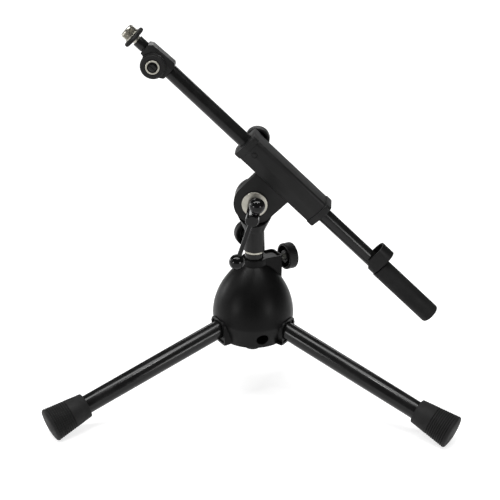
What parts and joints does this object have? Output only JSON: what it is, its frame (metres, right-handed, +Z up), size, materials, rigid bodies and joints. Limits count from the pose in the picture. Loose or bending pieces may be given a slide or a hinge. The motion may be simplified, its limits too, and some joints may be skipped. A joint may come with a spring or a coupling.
{
  "type": "boom microphone stand",
  "caption": "Low tripod stand with a bell-shaped base, a short clamped column and a tilting, sliding counterweighted boom that ends in a tilting microphone thread.",
  "frame": {"origin": "on the floor, on the axis of the upright column", "axes": "+Z up along the column; the boom lies in the XZ plane, its counterweight towards +X and its microphone end towards -X; the tilt clamp and its cross bar face -Y; one leg points to the rear, towards +Y"},
  "size_m": [0.4383, 0.3944, 0.411],
  "materials": {
    "bell_black": "smooth black powder coat on a zinc casting",
    "cast_black": "satin black powder coat on a zinc casting",
    "holder_black": "satin black, glass-filled",
    "gloss_tube": "gloss black enamel on steel tube",
    "gloss_bolt": "gloss black plating",
    "knob_black": "fine matt black",
    "clip_black": "matt black, flexible",
    "foot_rubber": "matt black, ribbed",
    "weight_black": "matt black textured coat on steel",
    "nickel": "bright nickel plate",
    "zinc_steel": "zinc plate",
    "brass_pad": "turned brass"
  },
  "bodies": {
    "base": {"base_housing": "bell_black", "base_clamp_pad": "brass_pad", "leg_left": "gloss_tube", "leg_screw_left": "zinc_steel", "foot_left": "foot_rubber", "leg_right": "gloss_tube", "leg_screw_right": "zinc_steel", "foot_right": "foot_rubber", "leg_rear": "gloss_tube", "leg_screw_rear": "zinc_steel", "foot_rear": "foot_rubber"},
    "base_clamp": {"base_clamp_screw": "zinc_steel", "base_clamp_knob": "knob_black"},
    "column": {"column_tube": "gloss_tube", "column_plug": "knob_black", "column_stud": "zinc_steel", "column_ring": "nickel"},
    "swivel": {"swivel_body": "cast_black", "tilt_nut": "zinc_steel", "friction_washer": "knob_black"},
    "swivel_lock": {"swivel_lock_screw": "zinc_steel", "swivel_lock_knob": "knob_black"},
    "tilt_screw": {"tilt_bolt": "gloss_bolt", "tilt_washer": "nickel"},
    "cross_bar": {"cross_bar_rod": "gloss_bolt", "cross_bar_ball_upper": "gloss_bolt", "cross_bar_ball_lower": "gloss_bolt"},
    "holder": {"boom_holder": "holder_black", "holder_cap_upper": "holder_black", "holder_cap_lower": "holder_black", "boom_clamp_pad": "brass_pad"},
    "boom_clamp": {"boom_clamp_screw": "zinc_steel", "boom_clamp_knob": "knob_black"},
    "boom": {"boom_tube": "gloss_tube", "cable_clip": "clip_black", "counterweight": "weight_black", "weight_screw": "zinc_steel", "head_socket": "cast_black", "head_nut": "zinc_steel"},
    "head": {"head_yoke": "cast_black", "head_neck": "gloss_tube", "head_cap": "knob_black", "head_inlay": "nickel", "head_bolt": "gloss_bolt", "neck_stud": "nickel"},
    "lock_ring_body": {"lock_ring": "knob_black"},
    "adapter": {"thread_adapter": "nickel"}
  },
  "joints": [
    {"name": "column_slide", "type": "slide", "parent": "base", "child": "column", "axis": [0, 0, 1], "range_m": [0, 0.055]},
    {"name": "base_clamp_turn", "type": "hinge", "parent": "base", "child": "base_clamp", "pos_m": [0, 0, 0.1517], "axis": [0.8387, 0.5446, 0], "range_deg": [-180, 180]},
    {"name": "boom_swivel", "type": "hinge", "parent": "column", "child": "swivel", "pos_m": [0, 0, 0.18], "axis": [0, 0, 1], "continuous": true},
    {"name": "swivel_lock_turn", "type": "hinge", "parent": "swivel", "child": "swivel_lock", "pos_m": [0, 0, 0.178], "axis": [-0.3584, 0.9336, 0], "range_deg": [-180, 180]},
    {"name": "tilt_screw_turn", "type": "hinge", "parent": "swivel", "child": "tilt_screw", "pos_m": [0, 0, 0.223], "axis": [0, 1, 0], "range_deg": [-180, 180]},
    {"name": "cross_bar_slide", "type": "slide", "parent": "tilt_screw", "child": "cross_bar", "axis": [0.3007, 0, 0.9537], "range_m": [0, 0.0345]},
    {"name": "boom_tilt", "type": "hinge", "parent": "swivel", "child": "holder", "pos_m": [0, 0, 0.223], "axis": [0, 1, 0], "range_deg": [-70, 4]},
    {"name": "boom_clamp_turn", "type": "hinge", "parent": "holder", "child": "boom_clamp", "pos_m": [-0.00065, 0, 0.28008], "axis": [0, 1, 0], "range_deg": [-180, 180]},
    {"name": "boom_slide", "type": "slide", "parent": "holder", "child": "boom", "axis": [0.7314, 0, -0.682], "range_m": [-0.065, 0.03]},
    {"name": "head_tilt", "type": "hinge", "parent": "boom", "child": "head", "pos_m": [-0.1067, 0, 0.37104], "axis": [0, 1, 0], "range_deg": [-90, 0]},
    {"name": "lock_ring_turn", "type": "hinge", "parent": "head", "child": "lock_ring_body", "pos_m": [-0.1271, 0, 0.39799], "axis": [-0.7314, 0, 0.682], "range_deg": [-180, 180]},
    {"name": "adapter_turn", "type": "hinge", "parent": "head", "child": "adapter", "pos_m": [-0.132, 0, 0.40256], "axis": [-0.7314, 0, 0.682], "range_deg": [-180, 180]}
  ]
}
